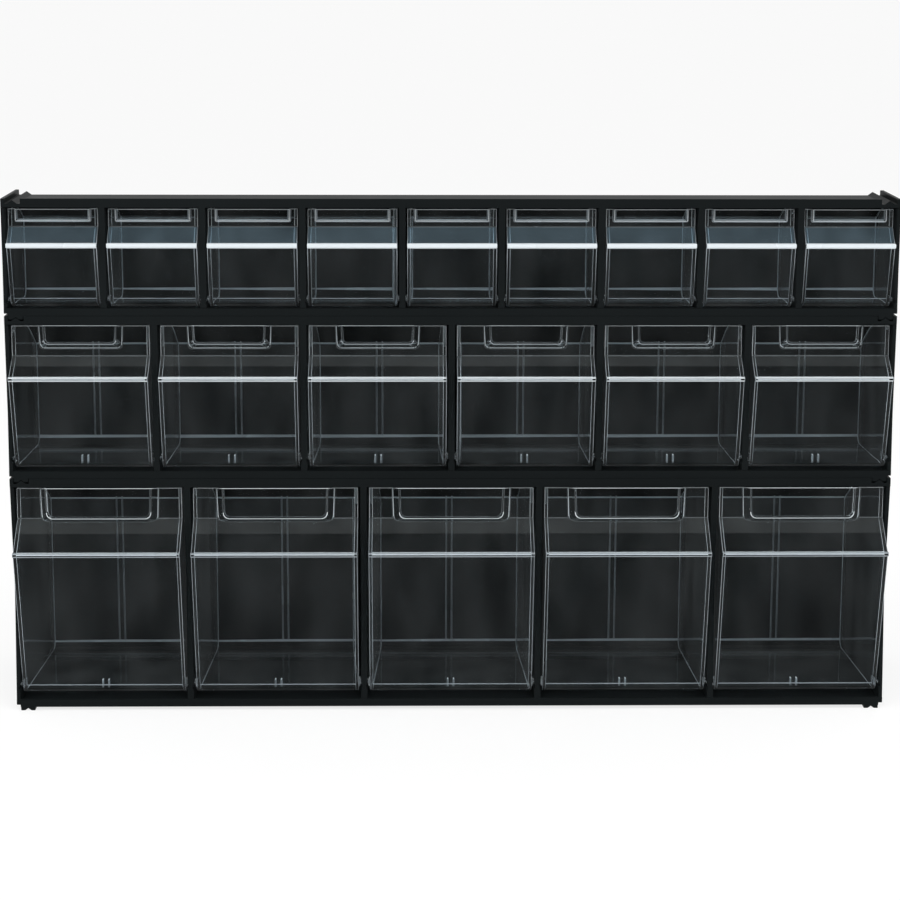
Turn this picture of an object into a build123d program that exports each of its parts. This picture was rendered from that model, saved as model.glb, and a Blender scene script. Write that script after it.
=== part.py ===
from build123d import *
from collections import namedtuple
import os

# Tilt bin organizer: three stacking housings, each with one row of clear bins that tilt out.
# Millimetres, +Z up, +Y to the back. Heights are above a housing's base, drops are below its top edge and
# setbacks are behind its front.

# Width that the three housings share
housing_width = 600.0

# Top housing and its small bins
small_count = 9
small_height = 79.0
small_depth = 57.0
small_gap = 6.6
small_bin_back = 50.0
small_back_taper = 1.5
small_floor = 4.4
small_foot_setback = 9.0
small_lip_reach = 4.0
small_lip_drop = 31.1
small_crease_drop = 19.7
small_band_setback = 8.5
small_pivot_setback = 13.0
small_pivot_height = 10.0
small_panel_width = 50.6
small_panel_flare = 0.2
small_panel_drop = 16.1
small_panel_reach = 3.0
small_panel_taper = 7.6
small_panel_radius = 0.8
small_panel_rise = 0.0
small_kink_depth = 1.0
small_kink_height = 32.0

# Middle housing and its medium bins
medium_count = 6
medium_height = 112.0
medium_depth = 83.0
medium_gap = 7.1
medium_bin_back = 78.0
medium_back_taper = 2.5
medium_floor = 6.0
medium_foot_setback = 5.0
medium_lip_reach = 13.0
medium_lip_drop = 40.9
medium_crease_drop = 28.0
medium_band_setback = 6.0
medium_pivot_setback = 11.0
medium_pivot_height = 13.0
medium_panel_width = 58.0
medium_panel_flare = 1.2
medium_panel_drop = 23.3
medium_panel_reach = 5.2
medium_panel_taper = 36.9
medium_panel_radius = 3.6
medium_panel_rise = 1.1
medium_kink_depth = 2.0
medium_kink_height = 45.0

# Bottom housing and its large bins
large_count = 5
large_height = 162.0
large_depth = 125.0
large_gap = 7.6
large_bin_back = 105.0
large_back_taper = 4.5
large_floor = 7.5
large_foot_setback = 6.6
large_lip_reach = 20.0
large_lip_drop = 48.4
large_crease_drop = 28.7
large_band_setback = 4.5
large_pivot_setback = 12.0
large_pivot_height = 14.0
large_panel_width = 82.0
large_panel_flare = 1.2
large_panel_drop = 32.5
large_panel_reach = 5.5
large_panel_taper = 39.9
large_panel_radius = 6.0
large_panel_rise = 1.1
large_kink_depth = 7.0
large_kink_height = 83.0

# Housing walls
end_wall = 2.6
divider = 4.4
floor_thickness = 3.0
back_wall = 2.5
plate_thickness = 2.5
beam_thickness = 3.0
ledge_height = 5.5
rim_height = 6.0
rest_rail_width = 3.0
rest_rail_inset = 16.0

# Stacking runners under each housing, and the tray with guide ridges on top
tray_depth = 3.5
runner_height = 2.4
runner_width = 9.8
runner_back_inset = 2.0
ridge_width = 6.6
ridge_height = 2.4
rail_clearance = 0.3
end_step = 1.6

# Screw holes through the back, for a wall
screw_hole = 4.2
screw_drop = 3.6

# Bins
bin_wall = 2.0
floor_radius = 8.0
bead_height = 3.2
bead_reach = 2.4
bead_chamfer = 0.6
slot_width = 3.0
slot_rib = 1.1
slot_rib_depth = 1.6
slot_stub_height = 7.0

# Pivots and tilt
tilt_limit = 35.0
top_gap = 1.5
stop_gap = 0.3
pin_radius = 2.4
pin_flats = 3.0
pin_clearance = 0.1
pin_engagement = 1.2
pad_width = 5.2
socket_sides = 12
side_play = 0.3
lead_in_depth = 0.7
rest_gap = 0.2

Unit = namedtuple(
    "Unit",
    "count height depth gap bin_back back_taper floor foot_setback lip_reach lip_drop crease_drop"
    " band_setback pivot_setback pivot_height panel_width panel_flare panel_drop panel_reach panel_taper"
    " panel_radius panel_rise kink_depth kink_height slotted",
)

small = Unit(
    small_count, small_height, small_depth, small_gap, small_bin_back, small_back_taper, small_floor,
    small_foot_setback, small_lip_reach, small_lip_drop, small_crease_drop, small_band_setback,
    small_pivot_setback, small_pivot_height, small_panel_width, small_panel_flare, small_panel_drop,
    small_panel_reach, small_panel_taper, small_panel_radius, small_panel_rise, small_kink_depth,
    small_kink_height, False,
)
medium = Unit(
    medium_count, medium_height, medium_depth, medium_gap, medium_bin_back, medium_back_taper, medium_floor,
    medium_foot_setback, medium_lip_reach, medium_lip_drop, medium_crease_drop, medium_band_setback,
    medium_pivot_setback, medium_pivot_height, medium_panel_width, medium_panel_flare, medium_panel_drop,
    medium_panel_reach, medium_panel_taper, medium_panel_radius, medium_panel_rise, medium_kink_depth,
    medium_kink_height, True,
)
large = Unit(
    large_count, large_height, large_depth, large_gap, large_bin_back, large_back_taper, large_floor,
    large_foot_setback, large_lip_reach, large_lip_drop, large_crease_drop, large_band_setback,
    large_pivot_setback, large_pivot_height, large_panel_width, large_panel_flare, large_panel_drop,
    large_panel_reach, large_panel_taper, large_panel_radius, large_panel_rise, large_kink_depth,
    large_kink_height, True,
)

# The stack stands on the lowest runners, with the origin under the middle of its depth
units = (small, medium, large)
front_y = (max(unit.lip_reach for unit in units) - max(unit.depth for unit in units)) / 2
large_base = runner_height
medium_base = large_base + large_height
small_base = medium_base + medium_height

runner_center = housing_width / 2 - end_wall - rail_clearance - runner_width / 2
notch_depth = runner_height - tray_depth + ridge_height + rail_clearance
notch_half_width = notch_depth * ridge_width / 2 / ridge_height
low_left = (Align.MIN, Align.MIN)


def pitch(unit):
    """Distance from one bin's middle to the next."""
    return housing_width / unit.count


def bin_width(unit):
    """Width of a bin's front."""
    return pitch(unit) - unit.gap


def bin_center(unit, index):
    """Where the middle of a bin stands along the housing, counted from the left."""
    return -housing_width / 2 + pitch(unit) * (index + 0.5)


def wall_face(unit):
    """From a bin's middle to the face of a divider beside it."""
    return pitch(unit) / 2 - divider / 2


def clear_half_width(unit):
    """Half of the width that every compartment has clear, the end ones too."""
    return pitch(unit) / 2 - max(divider / 2, end_wall)


def ceiling(unit):
    """Height of the underside of the housing's top plate."""
    return unit.height - tray_depth - plate_thickness


def headroom(unit):
    """Height of the lowest thing over the bins, the plate or the front rim."""
    return min(ceiling(unit), unit.height - rim_height)


def bin_top(unit):
    """Height of the top edge of a bin's upright band."""
    return headroom(unit) - top_gap


def bin_block(unit, inset):
    """The bin's outer form, or with an inset the cavity in it, carried on past the top edge."""
    half_width = bin_width(unit) / 2 - inset
    back_half_width = half_width - unit.back_taper
    taper_start = unit.pivot_setback + pad_width
    lip_corner = bead_reach - unit.lip_reach
    with BuildPart() as block:
        with BuildSketch(Plane.YZ) as side:
            with BuildLine():
                Polyline(
                    (unit.foot_setback, unit.floor),
                    (lip_corner, unit.height - unit.lip_drop),
                    (unit.band_setback, unit.height - unit.crease_drop),
                    (unit.band_setback, unit.height),
                    (unit.bin_back, unit.height),
                    (unit.bin_back, unit.floor),
                    close=True,
                )
            make_face()
            fillet(side.vertices().group_by(Axis.Y)[0], radius=floor_radius)
            if inset:
                offset(amount=-inset, kind=Kind.INTERSECTION)
        extrude(amount=half_width, both=True)
        with BuildSketch(Plane.XY):
            with BuildLine():
                Polyline(
                    (-half_width, -unit.lip_reach),
                    (half_width, -unit.lip_reach),
                    (half_width, taper_start),
                    (back_half_width, unit.bin_back),
                    (-back_half_width, unit.bin_back),
                    (-half_width, taper_start),
                    close=True,
                )
            make_face()
        extrude(amount=unit.height, mode=Mode.INTERSECT)
    return block.part


def swing_room(unit):
    """The room that a bin may fill and still pass under the top plate up to its tilt limit.

    Ahead of the pivot the bin only sinks, so the top edge may rise towards the raised panel. Behind the pivot
    it is an arc about the pivot, and then the tangent that comes to lie under the plate at the limit, which
    stops the bin.
    """
    swing_radius = headroom(unit) - stop_gap - unit.pivot_height
    reach = unit.depth + unit.lip_reach
    back = unit.depth
    front = -unit.lip_reach
    panel_face = unit.band_setback - unit.panel_reach
    panel_top = bin_top(unit) + unit.panel_rise
    with BuildPart() as room:
        with BuildSketch(Plane.YZ):
            with Locations((unit.pivot_setback, unit.pivot_height)):
                Circle(swing_radius)
                Rectangle(reach, swing_radius, align=(Align.MAX, Align.MIN))
                Rectangle(reach, swing_radius, rotation=-tilt_limit, align=low_left)
            Polygon(
                (front, 0),
                (back, 0),
                (back, bin_top(unit)),
                (unit.band_setback, bin_top(unit)),
                (panel_face, panel_top),
                (front, panel_top),
                align=None,
                mode=Mode.INTERSECT,
            )
        extrude(amount=bin_width(unit) / 2, both=True)
    return room.part


def panel_block(unit, shrink, setback):
    """The raised panel on the upright band, or shrunk and set back the hollow behind it."""
    top_half = unit.panel_width / 2 - shrink
    bottom_half = top_half - unit.panel_flare
    bottom = unit.height - unit.panel_drop + shrink
    top = unit.height + unit.panel_reach
    band = Plane(origin=(0, unit.band_setback + setback, 0), x_dir=(1, 0, 0), z_dir=(0, -1, 0))
    with BuildPart() as panel:
        with BuildSketch(band):
            with BuildLine():
                Polyline(
                    (-bottom_half, bottom),
                    (bottom_half, bottom),
                    (top_half, top),
                    (-top_half, top),
                    close=True,
                )
            make_face()
        extrude(amount=unit.panel_reach, taper=unit.panel_taper)
        slanted = panel.edges().filter_by(Plane.XZ, reverse=True)
        fillet(slanted.group_by(Axis.Z)[0], radius=unit.panel_radius)
    return panel.part


def make_bin(unit):
    """One clear bin, with its middle at X = 0 and its pins on the pivot line."""
    outer = bin_block(unit, 0)
    cavity = bin_block(unit, bin_wall)
    room = swing_room(unit)
    panel = panel_block(unit, 0, 0)
    hollow = panel_block(unit, bin_wall / 2, bin_wall)
    half_width = bin_width(unit) / 2
    slot_middle = (slot_width + slot_rib) / 2
    pad_reach = clear_half_width(unit) - side_play
    pin_reach = wall_face(unit) + pin_engagement
    with BuildPart() as tilt_bin:
        add(outer)
        add(panel)
        add(cavity, mode=Mode.SUBTRACT)
        add(hollow, mode=Mode.SUBTRACT)

        # Square bead along the lip
        with BuildSketch(Plane.YZ) as bead:
            with Locations((-unit.lip_reach, unit.height - unit.lip_drop)):
                Rectangle(bead_reach + bin_wall / 2, bead_height, align=(Align.MIN, Align.CENTER))
            chamfer(bead.vertices().group_by(Axis.X)[0], length=bead_chamfer)
        extrude(amount=half_width, both=True)

        # Slot for a partition: two ribs up the back wall and two stubs behind the front
        if unit.slotted:
            rib_y = unit.bin_back - bin_wall
            stub_y = unit.foot_setback + floor_radius
            with BuildSketch(Plane.XY.offset(unit.floor + floor_radius)):
                with Locations((-slot_middle, rib_y), (slot_middle, rib_y)):
                    Rectangle(slot_rib, 2 * slot_rib_depth)
            extrude(amount=unit.height)
            with BuildSketch(Plane.XY.offset(unit.floor + bin_wall / 2)):
                with Locations((-slot_middle, stub_y), (slot_middle, stub_y)):
                    Rectangle(slot_rib, 2 * slot_rib_depth)
            extrude(amount=slot_stub_height)

        add(room, mode=Mode.INTERSECT)

        # Pads keep the bin midway between the dividers, and the flat-sided pins on them turn in the sockets
        for side in (-1, 1):
            with BuildSketch(Plane.YZ.offset(side * (half_width - bin_wall / 2))):
                with Locations((unit.pivot_setback, unit.pivot_height)):
                    Rectangle(pad_width, pad_width)
            extrude(amount=side * (pad_reach - half_width + bin_wall / 2))
            with BuildSketch(Plane.YZ.offset(side * pad_reach)):
                with Locations((unit.pivot_setback, unit.pivot_height)):
                    Circle(pin_radius)
                    Rectangle(2 * pin_radius, pin_flats, mode=Mode.INTERSECT)
            extrude(amount=side * (pin_reach - pad_reach))
    return tilt_bin.part


def make_housing(unit):
    """One black housing with all its walls, sockets, runners and ridges."""
    with BuildPart() as housing:
        # Floor, top plate, back, front ledge and front rim in one section
        with BuildSketch(Plane.YZ):
            Rectangle(unit.depth, floor_thickness, align=low_left)
            Rectangle(beam_thickness, ledge_height, align=low_left)
            with Locations((0, ceiling(unit))):
                Rectangle(unit.depth, plate_thickness, align=low_left)
            with Locations((0, unit.height - rim_height)):
                Rectangle(beam_thickness, rim_height, align=low_left)
            with Locations((unit.depth - back_wall, 0)):
                Rectangle(back_wall, unit.height - tray_depth, align=low_left)
            with Locations((unit.bin_back - rest_rail_inset, 0)):
                Rectangle(rest_rail_width, unit.floor - rest_gap, align=low_left)
        extrude(amount=housing_width / 2, both=True)

        # End walls up to the rim, with a front edge that is kinked inwards
        for side in (-1, 1):
            with BuildSketch(Plane.YZ.offset(side * housing_width / 2)):
                Polygon(
                    (0, 0),
                    (unit.depth, 0),
                    (unit.depth, unit.height),
                    (0, unit.height),
                    (unit.kink_depth, unit.kink_height),
                    align=None,
                )
            extrude(amount=-side * end_wall)

        # Dividers up to the top plate
        for index in range(1, unit.count):
            with BuildSketch(Plane.YZ.offset(pitch(unit) * index - housing_width / 2 - divider / 2)):
                Polygon(
                    (0, 0),
                    (unit.depth, 0),
                    (unit.depth, ceiling(unit)),
                    (0, ceiling(unit)),
                    (unit.kink_depth, unit.kink_height),
                    align=None,
                )
            extrude(amount=divider)

        # The front rim is open over each ridge, so that a runner slides in, and the ends step up below
        tray = unit.height - tray_depth
        with BuildSketch(Plane.XZ):
            for side in (-1, 1):
                with Locations((side * runner_center, tray)):
                    Rectangle(runner_width + 2 * rail_clearance, tray_depth, align=(Align.CENTER, Align.MIN))
        extrude(amount=-beam_thickness, mode=Mode.SUBTRACT)
        with BuildSketch(Plane.XZ):
            for side in (-1, 1):
                with Locations((side * (housing_width - end_wall) / 2, 0)):
                    Rectangle(end_wall, end_step, align=(Align.CENTER, Align.MIN))
        extrude(amount=-unit.depth, mode=Mode.SUBTRACT)

        # Guide ridges on the tray
        with BuildSketch(Plane.XZ):
            for side in (-1, 1):
                Polygon(
                    (side * runner_center - ridge_width / 2, tray),
                    (side * runner_center + ridge_width / 2, tray),
                    (side * runner_center, tray + ridge_height),
                    align=None,
                )
        extrude(amount=-unit.depth)

        # Runners with a notch that sits over the ridge of the housing below
        with BuildSketch(Plane.XZ):
            for side in (-1, 1):
                with Locations((side * runner_center, -runner_height)):
                    Rectangle(runner_width, runner_height + floor_thickness, align=(Align.CENTER, Align.MIN))
                Polygon(
                    (side * runner_center - notch_half_width, -runner_height),
                    (side * runner_center + notch_half_width, -runner_height),
                    (side * runner_center, notch_depth - runner_height),
                    align=None,
                    mode=Mode.SUBTRACT,
                )
        extrude(amount=runner_back_inset - unit.depth)

        # Sockets on the pivot line, each with a shallow groove that leads a pin's flats in from the front
        socket_radius = pin_radius + pin_clearance
        groove_height = pin_flats + 2 * pin_clearance
        for index in range(unit.count):
            middle = bin_center(unit, index)
            with BuildSketch(Plane.YZ.offset(middle)):
                with Locations((unit.pivot_setback, unit.pivot_height)):
                    RegularPolygon(socket_radius, socket_sides, major_radius=False)
            extrude(amount=wall_face(unit) + pin_engagement + side_play, both=True, mode=Mode.SUBTRACT)
            with BuildSketch(Plane.YZ.offset(middle)):
                with Locations((0, unit.pivot_height)):
                    Rectangle(unit.pivot_setback, groove_height, align=(Align.MIN, Align.CENTER))
            extrude(amount=wall_face(unit) + lead_in_depth, both=True, mode=Mode.SUBTRACT)

        # Screw holes in the back, behind the second bin from each end
        with BuildSketch(Plane.XZ.offset(-unit.depth)):
            for index in (1, unit.count - 2):
                with Locations((bin_center(unit, index), ceiling(unit) - screw_drop)):
                    Circle(screw_hole / 2)
        extrude(amount=back_wall, mode=Mode.SUBTRACT)
    return housing.part


def place(shape, name, x, z):
    """Set a finished piece in the stack and write it."""
    with BuildPart() as piece:
        with Locations((x, front_y, z)):
            add(shape)
    piece.part.label = name
    export_step(piece.part, "parts/" + name + ".step")


os.makedirs("parts", exist_ok=True)

place(make_housing(small), "housing_top", 0, small_base)
place(make_housing(medium), "housing_middle", 0, medium_base)
place(make_housing(large), "housing_bottom", 0, large_base)

for size, unit, base in (
    ("small", small, small_base),
    ("medium", medium, medium_base),
    ("large", large, large_base),
):
    one_bin = make_bin(unit)
    for index in range(unit.count):
        place(one_bin, size + "_bin_" + str(index + 1), bin_center(unit, index), base)
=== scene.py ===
# %% [markdown]
# # A tilt bin organizer
#
# Three black housings stand on each other, and each holds one row of clear bins that tilt out at the top. The
# solids come from the CAD model in metres, +Z up, with the front towards -Y. This lesson gives them their
# looks: moulded black plastic, clear plastic with soft edges, a pale studio and the photograph's camera.

# %% Load the frame
import math

import bmesh
import bpy
from mathutils import Euler, Matrix, Vector


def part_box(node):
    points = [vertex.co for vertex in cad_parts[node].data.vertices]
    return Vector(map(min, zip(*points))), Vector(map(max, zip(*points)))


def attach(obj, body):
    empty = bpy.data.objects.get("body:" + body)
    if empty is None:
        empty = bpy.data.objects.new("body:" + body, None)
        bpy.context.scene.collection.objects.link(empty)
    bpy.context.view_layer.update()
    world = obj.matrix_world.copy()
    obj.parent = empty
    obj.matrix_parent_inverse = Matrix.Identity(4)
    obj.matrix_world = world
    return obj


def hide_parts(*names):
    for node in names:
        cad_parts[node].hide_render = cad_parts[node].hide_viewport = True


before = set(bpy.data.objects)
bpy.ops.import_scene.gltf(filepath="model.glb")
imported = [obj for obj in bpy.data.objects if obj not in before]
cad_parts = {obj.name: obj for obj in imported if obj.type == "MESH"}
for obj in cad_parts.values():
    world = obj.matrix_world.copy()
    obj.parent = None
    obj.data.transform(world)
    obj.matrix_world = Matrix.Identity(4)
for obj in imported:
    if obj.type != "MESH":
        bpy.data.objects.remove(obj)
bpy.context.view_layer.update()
MM = 0.001
housings = sorted(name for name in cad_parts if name.startswith("housing"))
bins = sorted(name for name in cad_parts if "_bin_" in name)
print("housings", housings, "bins", len(bins))

# %% [markdown]
# The photograph is taken from a little left of the middle and above the stack, with a long lens. The frame lies
# lower than the lens points, which is what a shift does: upright edges stay nearly parallel. The values below
# come from matching the stack's corners. Turning the camera is easiest in two steps: first where it looks, then
# a small roll about its own axis.

# %% Camera
CAMERA_PLACE = Vector((-24.8, -1496.8, 517.0)) * MM
CAMERA_YAW = math.radians(0.933)
CAMERA_PITCH = math.radians(10.083)
CAMERA_ROLL = math.radians(0.158)
FOCAL_PIXELS = 2180.9
IMAGE_PIXELS = 900
AXIS_ROW = 340.0

camera_data = bpy.data.cameras.new("photo_camera")
camera_data.sensor_width = 36.0
camera_data.lens = FOCAL_PIXELS * camera_data.sensor_width / IMAGE_PIXELS
camera_data.shift_y = (AXIS_ROW - IMAGE_PIXELS / 2) / IMAGE_PIXELS
camera_data.clip_end = 200.0
camera = bpy.data.objects.new("photo_camera", camera_data)
bpy.context.collection.objects.link(camera)
look = Euler((math.pi / 2 - CAMERA_PITCH, 0, -CAMERA_YAW)).to_matrix()
camera.matrix_world = Matrix.Translation(CAMERA_PLACE) @ (look @ Matrix.Rotation(CAMERA_ROLL, 3, "Z")).to_4x4()
bpy.context.scene.camera = camera
print("camera lens", round(camera_data.lens, 2), "shift", round(camera_data.shift_y, 4))

# %% [markdown]
# Materials are node trees. A small helper makes a material with a Principled shader and hands back its nodes,
# so that each finish below only has to say what is special about it. Patterns read Object coordinates: every
# mesh keeps its place in its own vertices, so a pattern stays put when a bin tilts.

# %% Material helper


def new_finish(name):
    """A material with a Principled shader, and a function that adds and names further nodes."""
    finish = bpy.data.materials.new(name)
    finish.use_nodes = True
    tree = finish.node_tree
    shader = tree.nodes["Principled BSDF"]

    def add(kind, **values):
        node = tree.nodes.new(kind)
        for key, value in values.items():
            if key in node.inputs:
                node.inputs[key].default_value = value
            else:
                setattr(node, key, value)
        return node

    return finish, tree, shader, add


def spread(tree, add, source, low, high):
    """A noise value from 0 to 1 turned into a value from low to high."""
    node = add("ShaderNodeMapRange")
    node.inputs["To Min"].default_value = low
    node.inputs["To Max"].default_value = high
    tree.links.new(source, node.inputs["Value"])
    return node.outputs["Result"]


# %% [markdown]
# The housings are a black moulded plastic, taken here to be polystyrene. It is satin, with a fine grain that only
# shows in the highlights and slightly uneven gloss, as plastic has where it flowed. Black still needs variation,
# because a single flat colour looks like a hole in the picture. The low index keeps the highlights weak: the tray
# on top looks black in the photograph too.

# %% Black moulded plastic
BLACK_DARK = (0.0056, 0.0069, 0.0073, 1)
BLACK_LIGHT = (0.0092, 0.0112, 0.0118, 1)
BLACK_GLOSS = (0.30, 0.46)
BLACK_INDEX = 1.07

black_plastic, tree, shader, add = new_finish("black_plastic")
place = add("ShaderNodeTexCoord")
clouds = add("ShaderNodeTexNoise", Scale=9.0, Detail=3.0)
grain = add("ShaderNodeTexNoise", Scale=2600.0, Detail=2.0)
tree.links.new(place.outputs["Object"], clouds.inputs["Vector"])
tree.links.new(place.outputs["Object"], grain.inputs["Vector"])
tone = add("ShaderNodeMix", data_type="RGBA")
tone.inputs[6].default_value = BLACK_DARK
tone.inputs[7].default_value = BLACK_LIGHT
tree.links.new(clouds.outputs["Fac"], tone.inputs[0])
tree.links.new(tone.outputs[2], shader.inputs["Base Color"])
gloss = spread(tree, add, clouds.outputs["Fac"], *BLACK_GLOSS)
tree.links.new(gloss, shader.inputs["Roughness"])
shader.inputs["IOR"].default_value = BLACK_INDEX
texture = add("ShaderNodeBump", Strength=0.12, Distance=0.00006)
tree.links.new(grain.outputs["Fac"], texture.inputs["Height"])
tree.links.new(texture.outputs["Normal"], shader.inputs["Normal"])
print("black plastic with", len(tree.nodes), "nodes")

# %% [markdown]
# The bins are a clear plastic, taken here to be polystyrene. A clear solid is all transmission, so its big panels
# are seen only by what they mirror: in the photograph a faint, streaky grey. A path tracer meets so faint a mirror
# image only now and then, which leaves dots. So a dark specular tint and an index of 1.18, well below polystyrene's
# 1.59, turn the mirror down, and a very weak glow, a few thousandths of white on each face and uneven in tall
# streaks, stands in for it. The real plastic doesn't glow. The panels are nearly flat, with the slow waviness of a
# moulding. Shadow rays pass straight through, because light that a clear wall bends is slow to find by path tracing.

# %% Clear moulded plastic
CLEAR_INDEX = 1.18
POLISHED = (0.0, 0.03)
WEAK_MIRROR = 0.03
MIRROR_TINT = (0.93, 1.03, 1.06)
SHADOW_SHARE = (0.9, 0.9, 0.9, 1)
STREAK_SCALE = (45.0, 45.0, 16.0)
STREAK_RANGE = (0.3, 0.7)


def clear_finish(name, colour, transmission, index, roughness, mirror, glow=0.0, swing=0.0):
    """A clear plastic that lets shadow rays pass, uneven in gloss and surface, with a glow, a painted reflection,
    that swings in streaks.
    """
    finish, tree, shader, add = new_finish(name)
    finish.cycles.emission_sampling = "NONE"
    shader.inputs["Emission Color"].default_value = colour
    shader.inputs["Emission Strength"].default_value = glow
    place = add("ShaderNodeTexCoord")
    flow = add("ShaderNodeTexNoise", Scale=22.0, Detail=1.0)
    tree.links.new(place.outputs["Object"], flow.inputs["Vector"])
    if glow:
        stretch = add("ShaderNodeMapping")
        stretch.inputs["Scale"].default_value = STREAK_SCALE
        streaks = add("ShaderNodeTexNoise", Scale=1.0, Detail=2.0)
        uneven = add("ShaderNodeMapRange")
        uneven.inputs["From Min"].default_value = STREAK_RANGE[0]
        uneven.inputs["From Max"].default_value = STREAK_RANGE[1]
        uneven.inputs["To Min"].default_value = (1 - swing) * glow
        uneven.inputs["To Max"].default_value = (1 + swing) * glow
        tree.links.new(place.outputs["Object"], stretch.inputs["Vector"])
        tree.links.new(stretch.outputs["Vector"], streaks.inputs["Vector"])
        tree.links.new(streaks.outputs["Fac"], uneven.inputs["Value"])
        tree.links.new(uneven.outputs["Result"], shader.inputs["Emission Strength"])
    shader.inputs["Base Color"].default_value = colour
    shader.inputs["Transmission Weight"].default_value = transmission
    shader.inputs["IOR"].default_value = index
    shader.inputs["Specular Tint"].default_value = [share * mirror for share in MIRROR_TINT] + [1]
    tree.links.new(spread(tree, add, flow.outputs["Fac"], *roughness), shader.inputs["Roughness"])
    waviness = add("ShaderNodeBump", Strength=0.05, Distance=0.0003)
    tree.links.new(flow.outputs["Fac"], waviness.inputs["Height"])
    tree.links.new(waviness.outputs["Normal"], shader.inputs["Normal"])
    ray = add("ShaderNodeLightPath")
    passing = add("ShaderNodeBsdfTransparent")
    passing.inputs["Color"].default_value = SHADOW_SHARE
    mix = add("ShaderNodeMixShader")
    tree.links.new(ray.outputs["Is Shadow Ray"], mix.inputs[0])
    tree.links.new(shader.outputs["BSDF"], mix.inputs[1])
    tree.links.new(passing.outputs["BSDF"], mix.inputs[2])
    tree.links.new(mix.outputs["Shader"], tree.nodes["Material Output"].inputs["Surface"])
    return finish


clear_plastic = clear_finish(
    "clear_plastic", (0.93, 0.98, 1.0, 1), 1.0, CLEAR_INDEX, POLISHED, WEAK_MIRROR, glow=0.0037, swing=0.7)
print("clear plastic", len(clear_plastic.node_tree.nodes), "nodes")

# %% [markdown]
# The rounded edges look bright: light that travels inside a wall comes out there, and the radius gathers it from
# all sides. A whiter, scattering finish on the narrow edge faces paints that line in, a painted highlight seen from
# every direction. Upright edges, creases and ribs look softer in the photograph, so two darker finishes paint dimmer
# highlights there.
# The slopes under the top bands look lighter in the photograph, perhaps from a reflection that this studio lacks.
# Two finishes with a little more of the same glow, a few hundredths of white, stand in for that too.

# %% Painted highlights and painted reflections on clear plastic
EDGE_INDEX = 1.45
SATIN = (0.15, 0.35)

# Painted highlights: whiter, grey and dark grey scattering finishes that paint the edge lines in.
bright_edge = clear_finish("clear_plastic_painted_highlight", (0.66, 0.71, 0.74, 1), 0.1, EDGE_INDEX, SATIN, 0.8)
soft_edge = clear_finish("clear_plastic_soft_painted_highlight", (0.34, 0.38, 0.41, 1), 0.2, EDGE_INDEX, SATIN, 0.6)
faint_edge = clear_finish("clear_plastic_faint_painted_highlight", (0.08, 0.09, 0.095, 1), 0.3, EDGE_INDEX, SATIN, 0.4)
# Painted reflection: more of the same glow, for the lighter slopes under the top bands.
painted_reflection_plastic = clear_finish(
    "clear_plastic_painted_reflection", (0.88, 0.95, 0.96, 1), 1.0, CLEAR_INDEX, POLISHED, WEAK_MIRROR, glow=0.028, swing=0.2)
painted_blue_reflection_plastic = clear_finish(
    "clear_plastic_painted_blue_reflection", (0.58, 0.83, 1.0, 1), 1.0, CLEAR_INDEX, POLISHED, WEAK_MIRROR, glow=0.067, swing=0.2)
print("edge plastic", len(bright_edge.node_tree.nodes), "nodes")

# %% [markdown]
# No moulded edge is sharp: a radius of a few tenths of a millimetre catches the light as a thin bright line. On the
# bins the rounded faces also get the bright painted highlight finish, which paints that line in.
# A copy of the CAD mesh is merged, its flat regions are dissolved back into single faces, crumbs of tiny faces in
# the smallest corners too, and its sharp edges are bevelled where the faces beside them have room. The weighted
# normals keep the flat faces flat beside the rounded edges.

# %% Rounded copies of the CAD solids
# Finish slots of a bin: 1 to 3 are painted highlights, bright, soft and faint, and 4 is the painted reflection glow.
BRIGHT = 1
SOFT = 2
FAINT = 3
PAINTED_REFLECTION = 4
SHARP = math.radians(25)
FLAT = math.radians(0.4)
RIB_REACH = 4.5 * MM
SHORT = 1.45 * MM
TINY = 0.6 * MM * MM
MERGE = 0.002 * MM
EDGE_SEGMENTS = 2


def room_beside(edge, face):
    """How far a face reaches away from one of its edges."""
    start = edge.verts[0].co
    along = (edge.verts[1].co - start).normalized()
    return max((vert.co - start).cross(along).length for vert in face.verts)


def rounded_copy(node, radius, inner_reach):
    """A merged copy of a CAD node's mesh with rounded edges, but no inner corners within a reach of its middle."""
    shape = bmesh.new()
    shape.from_mesh(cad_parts[node].data)
    bmesh.ops.remove_doubles(shape, verts=shape.verts, dist=MERGE)
    bmesh.ops.dissolve_limit(shape, angle_limit=FLAT, verts=shape.verts, edges=shape.edges)
    crumbs = [
        edge for edge in shape.edges
        if edge.is_manifold and edge.calc_length() < SHORT and edge.calc_face_angle(0) < SHARP
        and max(face.calc_area() for face in edge.link_faces) < TINY
    ]
    bmesh.ops.dissolve_edges(shape, edges=crumbs, use_verts=True)
    middle = sum(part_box(node), Vector()).x / 2
    sharp = [
        edge for edge in shape.edges
        if edge.is_manifold and edge.calc_face_angle(0) > SHARP
        and min(room_beside(edge, face) for face in edge.link_faces) > 2 * radius
        and (edge.is_convex or abs(edge.verts[0].co.x - middle) > inner_reach)
    ]
    rounded = bmesh.ops.bevel(
        shape, geom=sharp, offset=radius, offset_type="OFFSET", affect="EDGES", segments=EDGE_SEGMENTS,
        profile=0.5, material=-1, clamp_overlap=False, loop_slide=True,
    )
    # On a bin this slot holds the bright painted highlight; on a housing it holds the same black plastic.
    for face in rounded["faces"]:
        face.material_index = BRIGHT
    return shape


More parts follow.
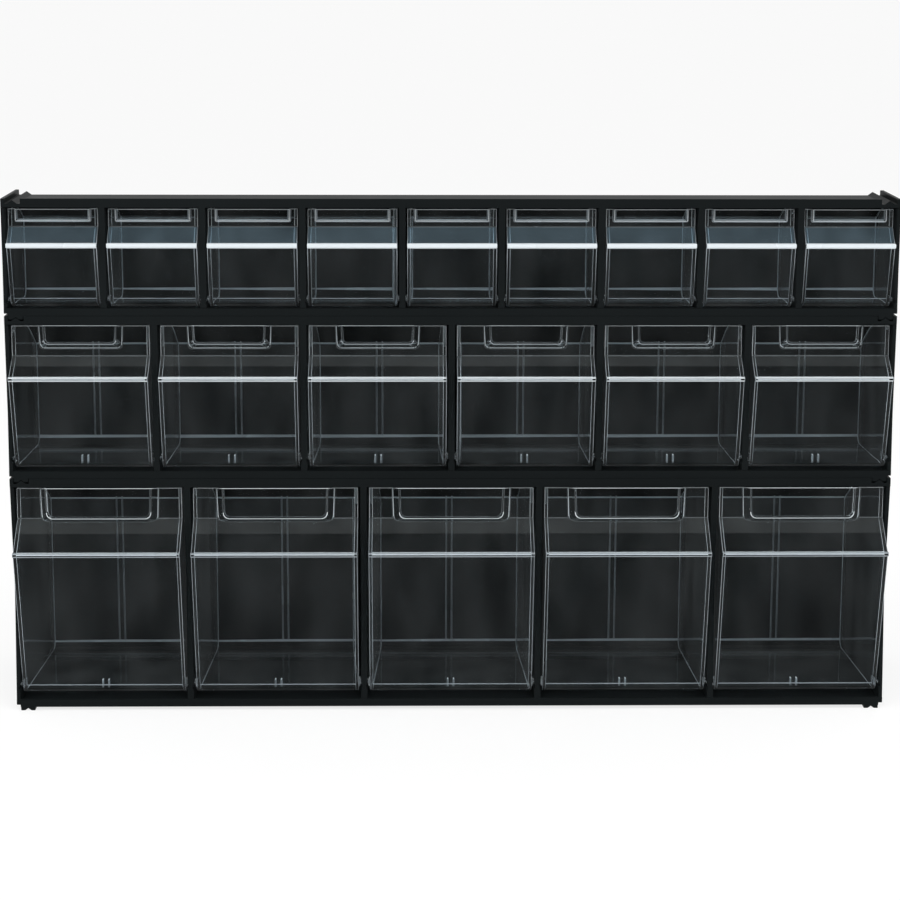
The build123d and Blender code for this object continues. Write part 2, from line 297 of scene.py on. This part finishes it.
def piece_from(shape, name, finishes, body, node):
    """An object for a finished bmesh, riding on a body in place of a CAD node."""
    mesh = bpy.data.meshes.new(name)
    shape.to_mesh(mesh)
    mesh.shade_smooth()
    for finish in finishes:
        mesh.materials.append(finish)
    piece = bpy.data.objects.new(name, mesh)
    bpy.context.collection.objects.link(piece)
    even = piece.modifiers.new("even_normals", "WEIGHTED_NORMAL")
    even.keep_sharp = True
    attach(piece, body)
    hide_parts(node)
    return piece


# %% [markdown]
# A housing is one black moulding, so its faces and its rounded edges have the same finish.

# %% Housings
HOUSING_EDGE = 0.35 * MM
HOUSING_FINISHES = [black_plastic, black_plastic]

for node in housings:
    shape = rounded_copy(node, HOUSING_EDGE, 0)
    piece = piece_from(shape, node + "_moulding", HOUSING_FINISHES, "housing", node)
    print(piece.name, len(piece.data.polygons), "faces")
    shape.free()

# %% [markdown]
# Bins of one size are alike, so one of them is rounded and sorted into finishes and then moved from place to place
# along its row. Which edge gets a bright painted highlight and which a soft one was read from the photograph, size by
# size. Lengths named drop are measured down from the housing's top, and a setback is measured behind its front.

# %% Bins
BIN_EDGE = {"small": 0.45 * MM, "medium": 0.35 * MM, "large": 0.35 * MM}
BIN_FINISHES = [clear_plastic, bright_edge, soft_edge, faint_edge]
# The painted reflection glow for the slope under the top band, and the upper share of the slope that gets it.
PAINTED_REFLECTIONS = {"small": painted_blue_reflection_plastic, "medium": painted_reflection_plastic, "large": painted_reflection_plastic}
PAINTED_REFLECTION_SHARE = {"small": 1.0, "medium": 0.49, "large": 0.45}
BEAD_REACH = 2.3 * MM
RIM_START = 0.25
FLOOR_REACH = 16 * MM
SMALL_TOP = 8 * MM * MM
CREASE_DROP = {"small": 19.7 * MM, "medium": 28.0 * MM, "large": 28.7 * MM}
CREASE_SETBACK = {"small": 8.5 * MM, "medium": 6.0 * MM, "large": 4.5 * MM}
CREASE_REACH = 2.5 * MM
PANEL_DROP = {"small": 16.1 * MM, "medium": 23.3 * MM, "large": 32.5 * MM}
PANEL_FRONT = {"small": 2.3 * MM, "medium": 4.2 * MM, "large": 4.4 * MM}
PANEL_CORNER = {"small": 30.0 * MM, "medium": 7.4 * MM, "large": 8.8 * MM}
# Which painted highlight, bright, soft or faint, the panel lines, panel sides and rims get, size by size.
PANEL_LINE = {"small": BRIGHT, "medium": SOFT, "large": BRIGHT}
PANEL_SIDE = {"small": SOFT, "medium": FAINT, "large": FAINT}
RIM_LINE = {"small": FAINT, "medium": BRIGHT, "large": BRIGHT}
TOP_REACH = 3.0 * MM
HOUSING_OF = {"small": "housing_top", "medium": "housing_middle", "large": "housing_bottom"}
LEVEL = 0.9
LEANING = 0.4
SIDEWAYS = 0.25
STRAIGHT = 0.2
SQUARE = 0.1
CURVE_RANGE = (0.05, 0.3)
OUTER_SHARE = 0.495
PANEL_SHARE = 0.43


def paint_reflection_on_slope(shape, share):
    """Cut the sloped face under a bin's top band across, and give the upper share of it the painted reflection glow.
    """
    slopes = [face for face in shape.faces if face.normal.y < -LEANING and face.normal.z > LEANING]
    slope = max(slopes, key=lambda face: face.calc_area())
    heights = [vert.co.z for vert in slope.verts]
    cut = max(heights) - share * (max(heights) - min(heights))
    upper = [slope]
    if share < 1:
        geometry = [slope] + list(slope.edges) + list(slope.verts)
        parts = bmesh.ops.bisect_plane(shape, geom=geometry, plane_co=(0, 0, cut), plane_no=(0, 0, 1))["geom"]
        upper = [part for part in parts
                 if isinstance(part, bmesh.types.BMFace) and part.calc_center_median().z > cut]
    for face in upper:
        face.material_index = PAINTED_REFLECTION


def sort_faces(shape, size):
    """Choose which faces of a bin get a bright, soft or faint painted highlight and which stay clear, by where they
    lie and which way they face.
    """
    low = Vector([min(vert.co[axis] for vert in shape.verts) for axis in range(3)])
    high = Vector([max(vert.co[axis] for vert in shape.verts) for axis in range(3)])
    middle = (low + high) / 2
    rim_front = low.y + RIM_START * (high.y - low.y)
    housing_low, housing_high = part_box(HOUSING_OF[size])
    crease_z = housing_high.z - CREASE_DROP[size]
    crease_y = housing_low.y + CREASE_SETBACK[size]
    panel_z = housing_high.z - PANEL_DROP[size]
    width = high.x - low.x
    for face in shape.faces:
        center = face.calc_center_median()
        aside = abs(center.x - middle.x)
        up = face.normal.z
        sideways = abs(face.normal.x)
        edge = face.material_index == BRIGHT
        near_crease = abs(center.z - crease_z) < CREASE_REACH and abs(center.y - crease_y) < CREASE_REACH
        on_crease = edge and near_crease and sideways < STRAIGHT
        on_rib = aside < RIB_REACH and center.y > middle.y and abs(up) < LEANING
        on_floor_curve = (CURVE_RANGE[0] < up < CURVE_RANGE[1] and sideways < SQUARE
                          and center.z < low.z + FLOOR_REACH)
        on_upright = edge and sideways > SIDEWAYS and center.z < crease_z
        on_outer = size == "large" and on_upright and aside > OUTER_SHARE * width
        on_large_bead = edge and size == "large" and center.y < low.y + BEAD_REACH
        on_panel = (edge and panel_z - TOP_REACH / 2 < center.z < high.z - TOP_REACH
                    and center.y < crease_y + TOP_REACH / 2 and aside < PANEL_SHARE * width)
        on_panel_line = (on_panel and center.y < crease_y - PANEL_FRONT[size]
                         and center.z < panel_z + PANEL_CORNER[size])
        on_rim = up > LEANING and center.z > middle.z and center.y > rim_front
        on_rib_top = up > LEVEL and face.calc_area() < SMALL_TOP
        on_bead = size == "small" and center.y < low.y + BEAD_REACH
        # Each chosen face gets a painted highlight: rims, rib tops, beads, panel lines and sides, creases, outer
        # uprights, floor curves and ribs.
        if on_rim:
            face.material_index = RIM_LINE[size]
        elif on_rib_top or on_bead:
            face.material_index = BRIGHT
        elif on_panel_line:
            face.material_index = PANEL_LINE[size]
        elif on_panel:
            face.material_index = PANEL_SIDE[size]
        elif on_crease:
            face.material_index = FAINT
        elif on_outer:
            face.material_index = BRIGHT
        elif on_upright or on_floor_curve or on_large_bead or (edge and on_rib):
            face.material_index = SOFT


for size in ("small", "medium", "large"):
    row = [name for name in bins if name.startswith(size)]
    shape = rounded_copy(row[0], BIN_EDGE[size], RIB_REACH)
    sort_faces(shape, size)
    paint_reflection_on_slope(shape, PAINTED_REFLECTION_SHARE[size])
    first_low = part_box(row[0])[0]
    stands = Vector((0, 0, 0))
    for node in row:
        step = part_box(node)[0] - first_low - stands
        bmesh.ops.translate(shape, vec=step, verts=shape.verts)
        stands += step
        finishes = BIN_FINISHES + [PAINTED_REFLECTIONS[size]]
        piece = piece_from(shape, node + "_clear", finishes, node, node)
    print(size, len(row), "bins of", len(piece.data.polygons), "faces")
    shape.free()

# %% [markdown]
# The stack stands on a pale floor that runs far back, so that the floor is the whole background. Seen directly,
# mirrored or through the bins, the floor is lifted towards white, and it keeps a soft shadow. A wide soft lamp
# hangs above and a little in front, and two tall ones stand at the sides and draw the bins' ends.

# %% Floor and light
FLOOR_COLOUR = (0.93, 0.93, 0.93, 1)
FLOOR_LIFT = 0.75
FLOOR_REACH_M = 60.0
WORLD_STRENGTH = 0.85

floor_finish, tree, shader, add = new_finish("pale_floor")
shader.inputs["Base Color"].default_value = FLOOR_COLOUR
shader.inputs["Roughness"].default_value = 0.9
shader.inputs["Specular IOR Level"].default_value = 0.1
lifted = add("ShaderNodeEmission")
ray = add("ShaderNodeLightPath")
seen = add("ShaderNodeMath", operation="MAXIMUM")
tree.links.new(ray.outputs["Is Camera Ray"], seen.inputs[0])
tree.links.new(ray.outputs["Is Glossy Ray"], seen.inputs[1])
seen_through = add("ShaderNodeMath", operation="MAXIMUM")
tree.links.new(seen.outputs["Value"], seen_through.inputs[0])
tree.links.new(ray.outputs["Is Transmission Ray"], seen_through.inputs[1])
lift = add("ShaderNodeMapRange")
lift.inputs["To Max"].default_value = FLOOR_LIFT
tree.links.new(seen_through.outputs["Value"], lift.inputs["Value"])
mix = add("ShaderNodeMixShader")
tree.links.new(lift.outputs["Result"], mix.inputs[0])
tree.links.new(shader.outputs["BSDF"], mix.inputs[1])
tree.links.new(lifted.outputs["Emission"], mix.inputs[2])
tree.links.new(mix.outputs["Shader"], tree.nodes["Material Output"].inputs["Surface"])
ground = bmesh.new()
bmesh.ops.create_grid(ground, x_segments=1, y_segments=1, size=FLOOR_REACH_M)
floor_mesh = bpy.data.meshes.new("floor")
ground.to_mesh(floor_mesh)
ground.free()
floor_mesh.materials.append(floor_finish)
floor = bpy.data.objects.new("floor", floor_mesh)
bpy.context.collection.objects.link(floor)

world = bpy.data.worlds.new("studio")
world.use_nodes = True
world.node_tree.nodes["Background"].inputs["Color"].default_value = (1.0, 1.0, 1.0, 1)
world.node_tree.nodes["Background"].inputs["Strength"].default_value = WORLD_STRENGTH
bpy.context.scene.world = world


def soft_lamp(name, place, target, width, height, power):
    """A rectangular lamp that faces a point."""
    data = bpy.data.lights.new(name, "AREA")
    data.shape = "RECTANGLE"
    data.size = width
    data.size_y = height
    data.energy = power
    lamp = bpy.data.objects.new(name, data)
    lamp.location = place
    lamp.rotation_euler = (Vector(target) - Vector(place)).to_track_quat("-Z", "Y").to_euler()
    bpy.context.collection.objects.link(lamp)


soft_lamp("lamp_above", (0, -0.85, 1.5), (0, 0, 0.2), 1.8, 0.7, 12)
soft_lamp("lamp_left", (-1.5, -0.5, 0.5), (0, 0, 0.2), 0.5, 1.2, 6)
soft_lamp("lamp_right", (1.5, -0.5, 0.5), (0, 0, 0.2), 0.5, 1.2, 6)
print("lamps", len(bpy.data.lights))

# %% [markdown]
# The picture is shown through the Standard view transform.

# %% View transform
bpy.context.scene.view_settings.view_transform = "Standard"
